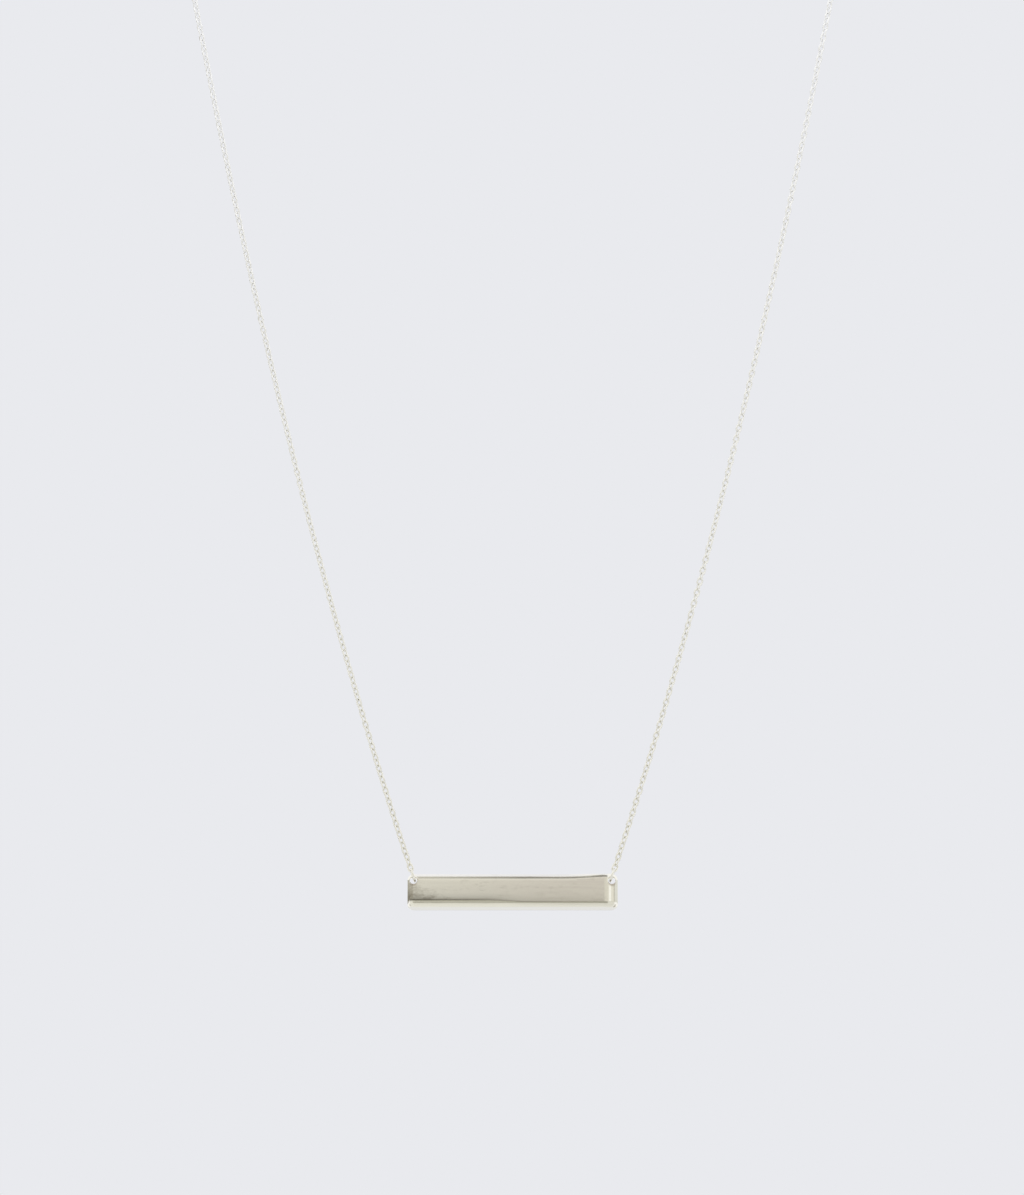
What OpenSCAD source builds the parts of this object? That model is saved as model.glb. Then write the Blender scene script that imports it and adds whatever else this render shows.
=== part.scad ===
// Plate necklace: a rounded bar plate hung by two jump rings from a fine chain loop.
// The origin is the nape, in the middle of the clasp. The front faces -Y, and +Z is up.

/* [Plate] */
// Length of the bar plate
plate_l = 32; // [24:0.5:40]
// Height of the bar plate
plate_h = 5.6; // [4.6:0.1:8]
// Thickness of the bar plate, whose edges are fully round
plate_t = 1.2; // [1.1:0.02:1.2]
// Radius of the plate's corners, seen from the front
corner_r = 1; // [0.7:0.05:1.5]
// Diameter of the hole near each upper corner
hole_d = 1.1; // [1.08:0.01:1.14]
// Distance from the plate's end to the centre of its hole
hole_in = 0.9; // [0.85:0.05:2]
// Metal left between a hole and the plate's top edge
hole_strip = 0.5; // [0.46:0.01:0.56]

/* [Jump rings] */
// Diameter of a jump ring, measured at the middle of its wire
ring_d = 1.96; // [1.94:0.01:2.04]
// Thickness of a jump ring's wire
ring_wire = 0.32; // [0.28:0.01:0.32]
// Free space inside a jump ring, round the corners of the plate's strip
ring_room = 0.13; // [0.12:0.005:0.14]

/* [Chain] */
// Length of one oval link, outside
link_l = 1.46; // [1.4:0.01:1.6]
// Width of one oval link, outside, and of the chain
link_w = 1.05; // [1:0.01:1.15]
// Thickness of a link's wire
link_wire = 0.27; // [0.24:0.01:0.28]
// Gap between a piece of wire and the one that it hooks round
wire_gap = 0.03; // [0.02:0.005:0.04]
// Turn of the first link about the chain, from facing the front
first_turn = 30; // [0:5:30]

/* [Hang] */
// Chain in each hanging front strand, from the jump ring's centre
strand_l = 147.5; // [120:0.5:170]
// Rise of the chain for each millimetre sideways, at the plate
slope_low = 3.05; // [2.9:0.05:3.6]
// Growth of that rise for each millimetre of chain, from the chain's own weight
slope_gain = 0.0152; // [0.012:0.0001:0.018]
// Distance from the front strands back to the nape
neck_depth = 48; // [40:1:70]
// Height of the nape above the top of the front strands
neck_rise = 34; // [25:1:50]
// Length of the upward lead where a strand starts round the neck
lead_up = 30; // [20:1:40]
// Length of the sideways lead where the chain reaches the nape
lead_back = 30; // [20:1:40]

/* [Clasp] */
// Diameter of the clasp's ring, measured at the middle of its wire
clasp_d = 4.4; // [4.2:0.1:5.4]
// Thickness of the clasp's ring
clasp_wire = 1.1; // [0.9:0.05:1.1]
// Diameter of the clasp's eyelet, measured at the middle of its wire
eyelet_d = 1.3; // [1.3:0.05:1.6]
// Thickness of the wire of the eyelet and of the end ring
eyelet_wire = 0.44; // [0.36:0.02:0.44]
// Gap between the clasp's ring and the end ring that it closes on
clasp_play = 0.05; // [0.03:0.01:0.06]
// Diameter of the end ring, measured at the middle of its wire
end_ring_d = 2.5; // [2.5:0.05:3]
// Length of the clasp's thumb stud
stud_l = 1; // [0.6:0.1:1.4]

/* [Hidden] */
$fn = 64;
edge_r = plate_t / 2;
ring_r = ring_d / 2;
half_link = (link_l - link_wire) / 2;
link_bend = (link_w - link_wire) / 2;

// A jump ring leans with the strand that pulls it, so its wire moves sideways in the hole as the
// plate swings. A part of that drift is taken up at rest.
REST_DRIFT = 0.3;
lean = atan(1 / slope_low);
wire_drift = ring_r * sin(lean);
hole_x = plate_l / 2 - hole_in;
hole_z = plate_h / 2 - hole_strip - hole_d / 2;
ring_x = hole_x + REST_DRIFT * wire_drift;
strip_reach = ring_r - ring_wire / 2 - ring_room;
strip_drop = sqrt(strip_reach * strip_reach - edge_r * edge_r);

// Heights are worked down from the nape: strand, jump ring, plate.
slope_high = slope_low + slope_gain * strand_l;
strand_rise = (norm([1, slope_high]) - norm([1, slope_low])) / slope_gain;
ring_z = -neck_rise - strand_rise;
plate_z = ring_z - strip_drop + hole_strip - plate_h / 2;

// The first link hooks round the jump ring's top, and the last one reaches end_x at the nape.
front_link_s = ring_r - (ring_wire + link_wire) / 2 - wire_gap + half_link;
hook_gap = (eyelet_wire + link_wire) / 2 + wire_gap;
clasp_gap = (clasp_wire + eyelet_wire) / 2 + clasp_play;
end_ring_x = (clasp_d + end_ring_d) / 2 - clasp_gap;
end_x = end_ring_x + end_ring_d / 2 - hook_gap;
eyelet_x = end_x - eyelet_d / 2 + hook_gap;
back_link_x = end_x + half_link;

// The chain's solid is an eight-sided tube between the first link and the last, in two lengths that
// meet at the top of the front strand.
TUBE_SIDES = 8;
STRAND_STEPS = 14;
NECK_STEPS = 25;
tube_s = front_link_s + link_l / 2 + wire_gap;
tube_end = 1 - (half_link + link_l / 2 + wire_gap) / (3 * lead_back);

// A weighted catenary, s millimetres along the right strand.
function asinh(v) = ln(v + norm([1, v]));
function slope(s) = slope_low + slope_gain * s;
function strand(s) = [
    ring_x + (asinh(slope(s)) - asinh(slope_low)) / slope_gain,
    -neck_depth,
    ring_z + (norm([1, slope(s)]) - norm([1, slope_low])) / slope_gain
];
function unit(v) = v / norm(v);
function strand_way(s) = unit([1, 0, slope(s)]);

// A cubic curve from the strand's top, up and back round the neck, to the nape.
NECK = [
    strand(strand_l),
    strand(strand_l) + lead_up * strand_way(strand_l),
    [end_x + lead_back, 0, 0],
    [end_x, 0, 0]
];
function mix(a, b, t) = a + (b - a) * t;
function neck_low(t) = mix(mix(NECK[0], NECK[1], t), mix(NECK[1], NECK[2], t), t);
function neck_high(t) = mix(mix(NECK[1], NECK[2], t), mix(NECK[2], NECK[3], t), t);
function neck(t) = mix(neck_low(t), neck_high(t), t);
function neck_way(t) = unit(neck_high(t) - neck_low(t));

// Each row is a point of the chain's middle line and the chain's direction there.
STRAND_ROWS = [
    for (i = [0:STRAND_STEPS])
        let (s = mix(tube_s, strand_l, i / STRAND_STEPS))
        [strand(s), strand_way(s)]
];
NECK_ROWS = [
    for (i = [0:NECK_STEPS])
        let (t = tube_end * i / NECK_STEPS)
        [neck(t), neck_way(t)]
];

// A tube of chain along rows of point and direction, with flat ends.
module chain_tube(rows) {
    last = len(rows) - 1;
    across = [for (row = rows) unit(cross(row[1], [1, 0, 1]))];
    points = [
        for (i = [0:last])
            for (k = [0:TUBE_SIDES - 1])
                let (turn = 360 * k / TUBE_SIDES)
                let (out = cos(turn) * across[i] + sin(turn) * cross(rows[i][1], across[i]))
                rows[i][0] + link_w / 2 * out
    ];
    walls = [
        for (i = [0:last - 1])
            for (k = [0:TUBE_SIDES - 1])
                let (a = i * TUBE_SIDES + k, b = i * TUBE_SIDES + (k + 1) % TUBE_SIDES)
                for (face = [[a, a + TUBE_SIDES, b + TUBE_SIDES], [a, b + TUBE_SIDES, b]])
                    face
    ];
    ends = [
        [for (k = [0:TUBE_SIDES - 1]) k],
        [for (k = [TUBE_SIDES - 1:-1:0]) last * TUBE_SIDES + k]
    ];
    polyhedron(points, concat(ends, walls));
}

// A wire ring in the XY plane, or a part of one.
module wire_ring(d, wire, angle = 360) {
    rotate_extrude(angle = angle)
        translate([d / 2, 0])
            circle(d = wire);
}

// An oval link in the XZ plane, with its length along Z.
module oval_link() {
    straight = half_link - link_bend;
    for (turn = [0, 180])
        rotate([0, turn, 0]) {
            translate([0, 0, straight])
                rotate([90, 0, 0])
                    wire_ring(2 * link_bend, link_wire, 180);
            translate([link_bend, 0, 0])
                cylinder(h = 2 * straight, d = link_wire, center = true);
        }
}

// The flat section of a plate's edge, from 0 to reach, whose outer end is fully round.
module edge_section(reach) {
    intersection() {
        union() {
            translate([0, -edge_r])
                square([reach - edge_r, plate_t]);
            translate([reach - edge_r, 0])
                circle(r = edge_r);
        }
        translate([0, -edge_r])
            square([reach, plate_t]);
    }
}

// The bar between its corners, with round top and bottom edges.
module plate_middle() {
    rotate([90, 0, 90])
        linear_extrude(plate_l - 2 * corner_r, center = true)
            for (turn = [90, -90])
                rotate(turn)
                    edge_section(plate_h / 2);
}

// The round end of the bar between its corners, on the right.
module plate_end() {
    translate([plate_l / 2 - corner_r, 0, 0])
        linear_extrude(plate_h - 2 * corner_r, center = true)
            edge_section(corner_r);
}

// The upper right corner of the bar, a quarter of a round cushion.
module plate_corner() {
    translate([plate_l / 2 - corner_r, 0, plate_h / 2 - corner_r])
        rotate([90, 0, 0])
            rotate_extrude(angle = 90)
                edge_section(corner_r);
}

module plate() {
    color([0.84, 0.83, 0.79])
        translate([0, -neck_depth, plate_z])
            difference() {
                union() {
                    plate_middle();
                    for (side = [0, 1])
                        mirror([side, 0, 0]) {
                            plate_end();
                            for (lower = [0, 1])
                                mirror([0, 0, lower])
                                    plate_corner();
                        }
                }
                for (side = [-1, 1])
                    translate([side * hole_x, 0, hole_z])
                        rotate([90, 0, 0])
                            cylinder(h = 2 * plate_t, d = hole_d, center = true);
            }
}

module ring_right() {
    color([0.88, 0.87, 0.84])
        translate(strand(0))
            rotate([0, lean + 90, 0])
                wire_ring(ring_d, ring_wire);
}

module ring_left() {
    mirror([1, 0, 0])
        ring_right();
}

module front_link_right() {
    color([0.88, 0.87, 0.84])
        translate(strand(front_link_s))
            rotate([0, atan(1 / slope(front_link_s)), 0])
                rotate([0, 0, first_turn])
                    oval_link();
}

module front_link_left() {
    mirror([1, 0, 0])
        front_link_right();
}

// The front strand, from the first link up to its top.
module chain_right() {
    color([0.88, 0.87, 0.84])
        chain_tube(STRAND_ROWS);
}

module chain_left() {
    mirror([1, 0, 0])
        chain_right();
}

// The stretch round the neck, from the strand's top to the last link.
module neck_chain_right() {
    color([0.88, 0.87, 0.84])
        chain_tube(NECK_ROWS);
}

module neck_chain_left() {
    mirror([1, 0, 0])
        neck_chain_right();
}

// The last link on the right stands upright, through the end ring.
module back_link_right() {
    color([0.88, 0.87, 0.84])
        translate([back_link_x, 0, 0])
            rotate([0, 90, 0])
                oval_link();
}

// The last link on the left lies level, through the clasp's eyelet.
module back_link_left() {
    color([0.88, 0.87, 0.84])
        translate([-back_link_x, 0, 0])
            rotate([90, 0, 0])
                rotate([0, 90, 0])
                    oval_link();
}

// A spring ring clasp as one plain piece: ring, eyelet and thumb stud.
module clasp() {
    color([0.86, 0.85, 0.82]) {
        rotate([90, 0, 0])
            wire_ring(clasp_d, clasp_wire);
        translate([-eyelet_x, 0, 0])
            rotate([90, 0, 0])
                wire_ring(eyelet_d, eyelet_wire);
        rotate([0, 35, 0])
            translate([0, 0, clasp_d / 2])
                cylinder(h = clasp_wire / 2 + stud_l, d = eyelet_wire);
    }
}

module end_ring() {
    color([0.86, 0.85, 0.82])
        translate([end_ring_x, 0, 0])
            wire_ring(end_ring_d, eyelet_wire);
}

plate();
ring_left();
ring_right();
front_link_left();
front_link_right();
chain_left();
chain_right();
neck_chain_left();
neck_chain_right();
back_link_left();
back_link_right();
clasp();
end_ring();
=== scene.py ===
"""Plate necklace: a polished silver bar plate on a fine cable chain, dressed round its packed frame."""

import math

import bmesh
import bpy
from bpy.props import FloatProperty, FloatVectorProperty, IntProperty, PointerProperty
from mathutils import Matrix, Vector
from mathutils.geometry import delaunay_2d_cdt


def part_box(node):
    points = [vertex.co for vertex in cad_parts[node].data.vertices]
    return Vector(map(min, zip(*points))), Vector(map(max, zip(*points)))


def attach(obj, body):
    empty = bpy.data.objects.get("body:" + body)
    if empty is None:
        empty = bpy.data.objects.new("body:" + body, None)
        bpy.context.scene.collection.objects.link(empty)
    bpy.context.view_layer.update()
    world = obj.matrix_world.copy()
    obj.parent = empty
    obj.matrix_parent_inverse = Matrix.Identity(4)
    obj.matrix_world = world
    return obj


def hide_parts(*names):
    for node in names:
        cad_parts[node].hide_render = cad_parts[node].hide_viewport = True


bl_info = {
    "name": "Plate Necklace",
    "version": (1, 0, 0),
    "blender": (4, 5, 0),
    "location": "View3D > Sidebar > Necklace",
    "description": "Makes a bar plate necklace: plate, cable chain, rings, clasp and a studio round it",
    "category": "Object",
}

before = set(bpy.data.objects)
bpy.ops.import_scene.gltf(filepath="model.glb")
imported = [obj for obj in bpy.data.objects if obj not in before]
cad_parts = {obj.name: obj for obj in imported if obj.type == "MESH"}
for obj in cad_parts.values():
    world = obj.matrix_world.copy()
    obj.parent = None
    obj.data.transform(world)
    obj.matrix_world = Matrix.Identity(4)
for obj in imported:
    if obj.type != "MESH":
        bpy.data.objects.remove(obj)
bpy.context.view_layer.update()
MM = 0.001


def linear(colour):
    """Turns an sRGB hex colour such as #F3F1E7 into linear red, green and blue."""
    levels = [int(colour[i : i + 2], 16) / 255 for i in (1, 3, 5)]
    return [
        level / 12.92 if level <= 0.04045 else ((level + 0.055) / 1.055) ** 2.4
        for level in levels
    ]


# Sizes and colours that a user would change


def length_mm(name, description, millimetres):
    """A length that a user can change, with its default in millimetres."""
    return FloatProperty(name=name, description=description, default=millimetres * MM, unit="LENGTH")


def angle_deg(name, description, degrees):
    """An angle that a user can change, with its default in degrees."""
    radians = math.radians(degrees)
    return FloatProperty(name=name, description=description, default=radians, subtype="ANGLE")


def colour_hex(name, description, colour):
    """A colour that a user can change, with its default in sRGB hex."""
    levels = linear(colour)
    return FloatVectorProperty(name=name, description=description, default=levels, subtype="COLOR")


class ChainSettings(bpy.types.PropertyGroup):
    """The cable chain's links, and the way that they follow round the neck."""

    link_length: length_mm("Link Length", "Length of one oval link, outside", 1.46)
    link_width: length_mm("Link Width", "Width of one oval link, outside", 1.05)
    wire: length_mm("Wire", "Thickness of the link's wire", 0.27)
    wire_sides: IntProperty(name="Wire Sides", description="Flat sides round a link's wire", default=6)
    bend_points: IntProperty(
        name="Bend Points", description="Points along each round end of a link", default=7
    )
    links: IntProperty(
        name="Links", description="Links on each side, with the two end links", default=259
    )
    front_start: length_mm(
        "Front Start", "Distance along the strand from the jump ring's centre to the first link's", 1.25
    )
    strand_length: length_mm(
        "Strand Length", "Chain in each hanging front strand, from the jump ring's centre", 147.5
    )
    slope_low: FloatProperty(
        name="Slope at the Plate",
        description="Rise of the chain for each unit sideways, at the plate",
        default=3.05,
    )
    slope_gain: FloatProperty(
        name="Slope Gain",
        description="Growth of that rise for each metre of chain, from the chain's own weight",
        default=15.2,
    )
    lead_up: length_mm(
        "Upward Lead", "Length of the upward lead where a strand starts round the neck", 30
    )
    lead_back: length_mm(
        "Sideways Lead", "Length of the sideways lead where the chain reaches the nape", 30
    )
    first_turn: angle_deg(
        "First Turn", "Turn of the first link about the chain, from facing the front", 30
    )
    lay_left: angle_deg("Lay on the Left", "Turn of the left strand's links, from facing the front", 45)
    lay_right: angle_deg(
        "Lay on the Right", "Turn of the right strand's links, from facing the front", 38
    )
    settle: IntProperty(
        name="Links to Settle",
        description="Links over which the chain turns from the first link's lay to the strand's",
        default=3,
    )
    wander: angle_deg("Wander", "Slow change of lay along the strand", 40)
    rock: angle_deg("Rock", "Largest tilt of one link from the chain's line", 2.5)
    seed: IntProperty(name="Seed", description="Seed of the links' small turns and tilts", default=4)


class PlateSettings(bpy.types.PropertyGroup):
    """The bar plate and the softening that polishing gave its edges."""

    corner: length_mm("Corner Radius", "Radius of the plate's corners, seen from the front", 1.0)
    hole: length_mm("Hole", "Diameter of the hole near each upper corner", 1.1)
    hole_in: length_mm("Hole from the End", "Distance from the plate's end to its hole's centre", 0.9)
    hole_down: length_mm("Hole from the Top", "Distance from the plate's top to its hole's centre", 1.05)
    rim: length_mm("Hole Rim", "Radius of the softened rim of a hole", 0.12)
    nip: length_mm("Edge Nip", "Smallest radius at the outer end of an edge's rounding", 0.04)
    turn_full: angle_deg("Full Turn", "Turn of a fully rounded edge, from the face towards its side", 84)
    turn_worn: angle_deg(
        "Short Turn", "Turn of the top edge near the right hole, where less was polished away", 40
    )
    crown: angle_deg("Crown", "Curve of the face from its middle to its top and bottom, as a tilt", 1.0)


class SilverSettings(bpy.types.PropertyGroup):
    """The tones of the silver."""

    plate: colour_hex("Plate Silver", "Tone of the plate's polished silver", "#F6F4EC")
    # Tone of the painted dark reflection, a cloudy warm patch towards the lower left of the plate's
    # face.
    corner_reflection_tone: colour_hex("Tarnish", "Tone of the thin warm film on the plate", "#B6B1A6")
    # Tone of the painted shade along the lower side of each hole.
    hole_shade_tone: colour_hex(
        "Hole Tarnish", "Tone of the film along the lower side of each hole", "#C2BAAE"
    )
    chain: colour_hex("Chain Silver", "Tone of the drawn wire of links and jump rings", "#FFFFFF")
    # Tone of the chain at the jump rings: a little darker and warmer than at the top of the strands,
    # with an even change between them.
    chain_lower_tone: colour_hex(
        "Chain Film", "Tone of the chain next to the plate, where it is handled most", "#F0EEE4"
    )
    clasp: colour_hex("Clasp Silver", "Tone of the cast clasp and its end ring", "#F1EFE6")


class StudioSettings(bpy.types.PropertyGroup):
    """The pale studio and the camera."""

    backdrop: colour_hex("Backdrop", "Colour of the plain background", "#E9EAEE")
    floor: colour_hex("Floor", "Colour of the plain pale floor", "#FFFFFF")
    floor_drop: length_mm("Floor Drop", "Depth of the floor below the nape", 1200)
    floor_radius: length_mm("Floor Radius", "Radius of the floor", 12000)
    board_radius: length_mm("Board Distance", "Distance of the reflection boards from the plate", 1900)
    lamp_size: length_mm("Softbox Size", "Width and depth of the overhead softbox", 1500)
    lamp_height: length_mm("Softbox Height", "Height of the softbox above the nape", 1800)
    lamp_power: FloatProperty(
        name="Softbox Power", description="Power of the softbox", default=1.5, unit="POWER"
    )
    camera_elevation: angle_deg(
        "Camera Elevation", "Elevation of the camera, which looks up from below the plate", -15
    )
    camera_distance: length_mm(
        "Camera Distance", "Distance from the camera to the strands, along its axis", 1212
    )
    aim_above_plate: length_mm(
        "Aim above the Plate",
        "Height above the plate's middle where the camera's axis meets the strands",
        46.44,
    )
    aim_aside: length_mm(
        "Aim Aside", "Distance to the right of the plate's middle where the camera points", -0.09
    )
    lens: FloatProperty(
        name="Lens", description="Focal length in millimetres on a 36 mm sensor", default=237.5
    )


# Shared helpers


def add_node(tree, kind, inputs=None, **settings):
    """Adds a node, sets its properties, fills its inputs with values or sockets, returns its outputs.

    An input is given by its name, or by its number where names repeat. In a Map Range node 0 is the
    value, 1 and 2 its range, and 3 and 4 the range of the result. In a Mix node 0 is the factor, 2
    and 3 are the numbers to mix, and 6 and 7 the colours.
    """
    made = tree.nodes.new(kind)
    made.location = (180 * len(tree.nodes), 0)
    for name, value in settings.items():
        setattr(made, name, value)
    for key, value in (inputs or {}).items():
        if isinstance(value, bpy.types.NodeSocket):
            tree.links.new(value, made.inputs[key])
        else:
            made.inputs[key].default_value = value
    return made.outputs


def new_material(name):
    """A new material, its tree, and the one thing in it yet: the place on the object."""
    material = bpy.data.materials.new(name)
    material.use_nodes = True
    tree = material.node_tree
    tree.nodes.clear()
    return material, tree, add_node(tree, "ShaderNodeTexCoord")["Object"]


def new_piece(name, data):
    """A new object in the scene for a mesh, a lamp or a camera."""
    piece = bpy.data.objects.new(name, data)
    bpy.context.scene.collection.objects.link(piece)
    return piece


def middle(name):
    """Middle of a node's box in the frame, in metres."""
    low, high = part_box(name)
    return (low + high) / 2


def mix(a, b, t):
    return a + (b - a) * t


def smooth_step(low, high, value):
    """0 below low and 1 above high, with a smooth rise between them."""
    t = min(max((value - low) / (high - low), 0.0), 1.0)
    return t * t * (3 - 2 * t)


def steps(start, stop, step):
    """Even values from start to stop, with both ends, no further apart than step."""
    count = max(1, math.ceil(abs(stop - start) / step - 1e-6))
    return [mix(start, stop, i / count) for i in range(count + 1)]


# Materials


# Nearly all of a pattern lies between these, which are given as inputs 1 and 2 of a Map Range node.
PATTERN_SPAN = {1: 0.3, 2: 0.7}
# The painted dark reflection on the plate's face, a cloudy warm patch, in millimetres along x, y
# and z: the size of its patches, and how far it reaches from the lower left corner.
REFLECTION_PATCH = (2, 3, 1)
REFLECTION_REACH = (9, 20, 5)
# How strong the pattern has to be to leave painted reflection, near the corner and at the end of its
# reach, and how much stronger where the painted reflection is full.
REFLECTION_LEAST = (0.02, 0.52)
REFLECTION_RISE = 0.55
# Heights above the plate's lower side, in millimetres, between which the painted reflection sets in.
# Below them there is none, and the rounded edge stays bright.
REFLECTION_START = (1.2, 1.8)
# The painted shade beside a hole, in millimetres: how far below the hole's centre its own centre is,
# and how much its radius is larger than the hole's where it ends and smaller where it is full.
HOLE_SHADE_DROP = 0.3
HOLE_SHADE_END = 0.15
HOLE_SHADE_FULL = 0.1


def pattern(tree, place, size, detail=2.0, roughness=0.5):
    """Noise with spots of about that size, which is in millimetres along x, y and z."""
    spots = add_node(
        tree, "ShaderNodeMapping", {"Vector": place, "Scale": Vector(size) * MM}, vector_type="TEXTURE"
    )
    noise = {"Vector": spots[0], "Scale": 1.0, "Detail": detail, "Roughness": roughness}
    return add_node(tree, "ShaderNodeTexNoise", noise)["Fac"]


def metal_surface(tree, tone, grain, rough, bump, depth):
    """Bare metal whose roughness, in its range, and whose tiny bumps follow a grain."""
    roughness = add_node(
        tree, "ShaderNodeMapRange", {0: grain, **PATTERN_SPAN, 3: rough[0], 4: rough[1]}
    )
    skin = add_node(tree, "ShaderNodeBump", {"Strength": bump, "Distance": depth, "Height": grain})
    shader = add_node(
        tree,
        "ShaderNodeBsdfPrincipled",
        {"Base Color": tone, "Metallic": 1.0, "Roughness": roughness[0], "Normal": skin[0]},
    )
    add_node(tree, "ShaderNodeOutputMaterial", {"Surface": shader[0]})


def painted_corner_reflection(tree, place, height):
    """Strength of the painted dark reflection on the plate's face, a cloudy patch that is most at its
    lower left corner.
    """
    cloud = pattern(tree, place, REFLECTION_PATCH, detail=5.0, roughness=0.75)
    low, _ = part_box("plate")
    from_corner = add_node(
        tree,
        "ShaderNodeMapping",
        {"Vector": place, "Location": low, "Scale": Vector(REFLECTION_REACH) * MM},
        vector_type="TEXTURE",
    )
    away = add_node(tree, "ShaderNodeVectorMath", {0: from_corner[0]}, operation="LENGTH")
    least = add_node(
        tree,
        "ShaderNodeMapRange",
        {0: away["Value"], 1: 0.1, 2: 1.0, 3: REFLECTION_LEAST[0], 4: REFLECTION_LEAST[1]},
        interpolation_type="SMOOTHSTEP",
    )
    excess = add_node(tree, "ShaderNodeMath", {0: cloud, 1: least[0]}, operation="SUBTRACT")
    darkening = add_node(
        tree, "ShaderNodeMapRange", {0: excess[0], 2: REFLECTION_RISE}, interpolation_type="SMOOTHSTEP"
    )
    starts, full = [low.z + level * MM for level in REFLECTION_START]
    on_face = add_node(tree, "ShaderNodeMapRange", {0: height, 1: starts, 2: full})
    return add_node(tree, "ShaderNodeMath", {0: darkening[0], 1: on_face[0]}, operation="MULTIPLY")[0]


def painted_hole_shade(tree, where, plate, centre):
    """Strength of the painted shade along the lower side of each hole, under the jump ring that passes
    through it.
    """
    # Both holes are the same distance from the middle, so one distance does for the two.
    aside = add_node(tree, "ShaderNodeMath", {0: where["X"]}, operation="ABSOLUTE")
    folded = add_node(tree, "ShaderNodeCombineXYZ", {"X": aside[0], "Z": where["Z"]})
    shade_z = centre.z + (plate.hole_z - HOLE_SHADE_DROP) * MM
    shade_place = (plate.hole_x * MM, 0, shade_z)
    away = add_node(tree, "ShaderNodeVectorMath", {0: folded[0], 1: shade_place}, operation="DISTANCE")
    end = (plate.hole_r + HOLE_SHADE_END) * MM
    full = (plate.hole_r - HOLE_SHADE_FULL) * MM
    return add_node(tree, "ShaderNodeMapRange", {0: away["Value"], 1: end, 2: full})[0]


def polished_silver(settings, plate, centre):
    """Sterling silver plate, rolled and hand polished.

    Gives the eye a near mirror with a few long soft polishing lines and a slight waviness. A thin warm
    painted dark reflection is strongest towards the lower left, and painted shade lies along the
    lower side of each hole.
    """
    material, tree, place = new_material("polished_sterling_silver")
    where = add_node(tree, "ShaderNodeSeparateXYZ", {0: place})
    # The tone gets a painted dark reflection towards the lower left and painted shade along the lower
    # side of each hole.
    darkenings = (
        (painted_corner_reflection(tree, place, where["Z"]), settings.corner_reflection_tone),
        (painted_hole_shade(tree, where, plate, centre), settings.hole_shade_tone),
    )
    tone = (*settings.plate, 1)
    for strength, darkening in darkenings:
        inputs = {0: strength, 6: tone, 7: (*darkening, 1)}
        tone = add_node(tree, "ShaderNodeMix", inputs, data_type="RGBA")[2]
    # Polishing lines 0.3 mm apart and 8 mm long: real ones are finer, and wouldn't show.
    lines = pattern(tree, place, (8, 1, 0.3), detail=3.0, roughness=0.6)
    metal_surface(tree, tone, lines, rough=(0.05, 0.12), bump=0.3, depth=0.0004 * MM)
    return material


def wire_silver(name, upper, lower, grain):
    """Silver of links, rings and clasp: round and bright, with a slightly uneven skin.

    The skin's grain is in millimetres, coarser than a real one so that it shows. The tone changes
    from lower to upper between the jump rings and the top of the front strands. Each is made once,
    and pieces that ask for its name share it.
    """
    if name in bpy.data.materials:
        return bpy.data.materials[name]
    material, tree, place = new_material(name)
    where = add_node(tree, "ShaderNodeSeparateXYZ", {0: place})
    foot = middle("ring_right").z
    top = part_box("chain_right")[1].z
    rise = add_node(tree, "ShaderNodeMapRange", {0: where["Z"], 1: foot, 2: top})
    inputs = {0: rise[0], 6: (*lower, 1), 7: (*upper, 1)}
    tone = add_node(tree, "ShaderNodeMix", inputs, data_type="RGBA")
    skin = pattern(tree, place, (grain, grain, grain))
    shade = add_node(tree, "ShaderNodeMapRange", {0: skin, **PATTERN_SPAN, 3: 0.98, 4: 1.0})
    toned = add_node(tree, "ShaderNodeVectorMath", {0: tone[2], "Scale": shade[0]}, operation="SCALE")
    metal_surface(tree, toned[0], skin, rough=(0.2, 0.28), bump=0.4, depth=grain * MM / 30)
    return material


def drawn_silver(settings):
    """Drawn sterling wire, tumbled bright: tiny soft glints from link to link."""
    return wire_silver("drawn_silver_wire", settings.chain, settings.chain_lower_tone, 0.25)


def cast_silver(settings):
    """Cast and tumbled sterling: a little softer and greyer than the drawn wire."""
    return wire_silver("cast_silver", settings.clasp, settings.clasp, 0.5)


# The bar plate


# Spacing of the mesh on the plate's face, in millimetres: wide in its middle, close where it bends.
WIDE_STEP = 0.5
TALL_STEP = 0.3
CLOSE_STEP = 0.07
END_STEP = 0.1
HOLE_STEP = 0.15
# Rows of points stay this far from a hole's rim, from an edge's rounding and from a soft bend.
RIM_GAP = 0.02
EDGE_GAP = 0.03
BEND_GAP = 0.1
# Steps of the mesh round an edge's rounding, its outer end, a corner, a hole and a hole's rim.
TURN_STEPS = 10
NIP_STEPS = 4
CORNER_STEPS = 14
HOLE_SIDES = 40
RIM_STEPS = 6

# The soft bends of the face near the edges: distance from the edge where the bend starts and
# where it has its full tilt, both in millimetres, and that tilt in degrees. Above the lower edge
# they are long and gentle on the left and short on the right.
FAINT_LEFT = (2.6, 1.6, 1.2)
FAINT_RIGHT = (2.5, 1.35, 0.6)
BEND_LEFT = (1.62, 0.82, 5.0)
BEND_RIGHT = (1.33, 0.96, 5.0)
# Where along the plate they change, in millimetres from its middle.
BEND_CHANGE = (-4.0, 2.0)
# The bends next to the right end and to the left end.
END_BENDS = ((2.1, 1.5, 1.8), (1.5, 0.75, 9.0))
LEFT_END_BEND = (1.2, 0.7, 2.0)
# The tilt is gone again between these distances, so that the edge itself stays where it is.
BEND_FADE = (0.6, 0.15)
# The top edge is rounded a little wider than the others.
TOP_STRETCH = 1.46
# Where along the top edge its rounding gets shorter, in millimetres from the plate's middle.
TOP_CHANGE = (7.0, 14.5)
# How far an edge faces up, from 0 to 1, where it starts to count as the top edge and fully does.
TOP_FACING = (0.3, 1.0)


def half_square(value):
    return value * value / 2 if value > 0 else 0.0


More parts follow.
